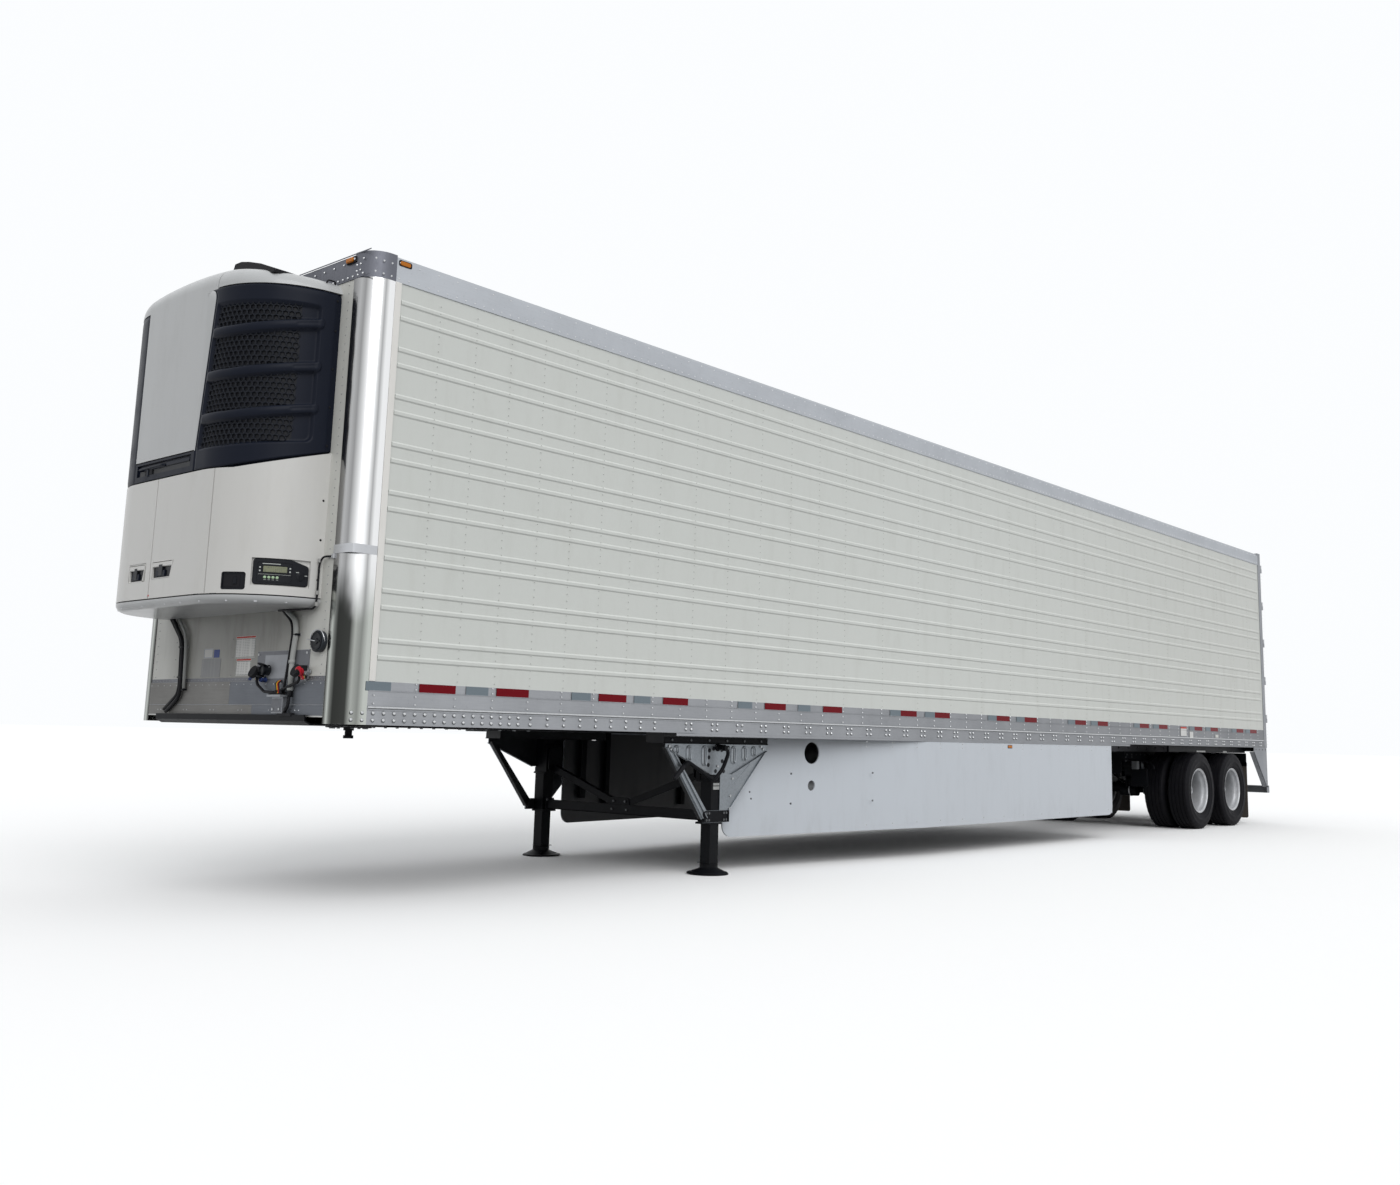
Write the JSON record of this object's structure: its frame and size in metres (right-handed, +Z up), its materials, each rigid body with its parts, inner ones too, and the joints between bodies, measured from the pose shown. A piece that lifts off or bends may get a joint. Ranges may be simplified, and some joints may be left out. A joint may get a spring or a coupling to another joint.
{
  "type": "refrigerated van semi trailer",
  "caption": "Long insulated box semi trailer with a nose-mounted cooling unit, landing legs, side skirts, twin rear swing doors and a sliding tandem on twin wheels.",
  "frame": {"origin": "on the ground under the middle of the overall length and width", "axes": "+X towards the nose, +Y to the left (road) side, +Z up"},
  "size_m": [16.784, 2.591, 4.115],
  "materials": {
    "white_panel": "semi-gloss white prepaint",
    "aluminium_rail": "mill-finish extrusion",
    "polished_stainless": "polished stainless",
    "duct_floor": "extruded duct floor",
    "beam_grey": "dull aluminium beams",
    "black_steel": "satin black paint",
    "bright_steel": "machined steel",
    "galvanised": "zinc coated",
    "skirt_white": "white composite",
    "tank_aluminium": "brushed",
    "unit_white": "gloss moulded",
    "unit_black": "textured black",
    "black_plastic": "satin",
    "door_hardware": "plated",
    "rubber": "matt",
    "tyre_rubber": "matt",
    "wheel_silver": "white-silver paint"
  },
  "bodies": {
    "trailer": {"air_couplings": "black_plastic", "air_hoses": "black_plastic", "air_line_plate": "galvanised", "bottom_rails": "aluminium_rail", "coupler_plate": "black_steel", "crossmembers": "beam_grey", "document_canister": "black_plastic", "floor": "duct_floor", "front_corner_posts": "polished_stainless", "front_header": "aluminium_rail", "front_sill": "aluminium_rail", "front_wall": "white_panel", "fuel_tank": "tank_aluminium", "kingpin": "bright_steel", "landing_feet": "black_steel", "landing_gear_braces": "black_steel", "landing_gear_brackets": "galvanised", "landing_gear_crank": "black_steel", "landing_leg_tubes": "black_steel", "left_side_wall": "white_panel", "left_skirt": "skirt_white", "nose_conduits": "black_plastic", "rear_guard": "galvanised", "rear_header": "polished_stainless", "rear_posts": "polished_stainless", "rear_sill": "polished_stainless", "right_side_wall": "white_panel", "right_skirt": "skirt_white", "roof": "white_panel", "skirt_struts": "galvanised", "slide_rails": "beam_grey", "top_rails": "aluminium_rail", "unit_bottom_pan": "unit_white", "unit_core": "unit_black", "unit_exhaust_hood": "unit_black", "unit_grilles": "unit_black", "unit_latch_band": "unit_black", "unit_lower_panels": "unit_white", "unit_top_cover": "unit_white", "unit_upper_panel": "unit_white"},
    "bogie": {"air_springs": "rubber", "axles": "black_steel", "bogie_frame": "black_steel", "brake_chambers": "black_steel", "mud_flaps": "rubber", "trailing_arms": "black_steel"},
    "front_left_wheel": {"front_left_tyres": "tyre_rubber", "front_left_wheels": "wheel_silver"},
    "front_right_wheel": {"front_right_tyres": "tyre_rubber", "front_right_wheels": "wheel_silver"},
    "left_door": {"left_door_hinges": "door_hardware", "left_door_locks": "door_hardware", "left_door_panel": "white_panel"},
    "rear_left_wheel": {"rear_left_tyres": "tyre_rubber", "rear_left_wheels": "wheel_silver"},
    "rear_right_wheel": {"rear_right_tyres": "tyre_rubber", "rear_right_wheels": "wheel_silver"},
    "right_door": {"right_door_hinges": "door_hardware", "right_door_locks": "door_hardware", "right_door_panel": "white_panel"}
  },
  "joints": [
    {"name": "left_door_hinge", "type": "hinge", "parent": "trailer", "child": "left_door", "pos_m": [-8.381, 1.2835, 2.6], "axis": [0, 0, -1], "range_deg": [0, 270]},
    {"name": "right_door_hinge", "type": "hinge", "parent": "trailer", "child": "right_door", "pos_m": [-8.381, -1.2835, 2.6], "axis": [0, 0, 1], "range_deg": [0, 270]},
    {"name": "bogie_slide", "type": "slide", "parent": "trailer", "child": "bogie", "axis": [1, 0, 0], "range_m": [0, 1.676]},
    {"name": "front_left_wheel_spin", "type": "hinge", "parent": "bogie", "child": "front_left_wheel", "pos_m": [-5.713, 0.954, 0.515], "axis": [0, 1, 0], "continuous": true},
    {"name": "front_right_wheel_spin", "type": "hinge", "parent": "bogie", "child": "front_right_wheel", "pos_m": [-5.713, -0.954, 0.515], "axis": [0, 1, 0], "continuous": true},
    {"name": "rear_left_wheel_spin", "type": "hinge", "parent": "bogie", "child": "rear_left_wheel", "pos_m": [-6.958, 0.954, 0.515], "axis": [0, 1, 0], "continuous": true},
    {"name": "rear_right_wheel_spin", "type": "hinge", "parent": "bogie", "child": "rear_right_wheel", "pos_m": [-6.958, -0.954, 0.515], "axis": [0, 1, 0], "continuous": true}
  ]
}
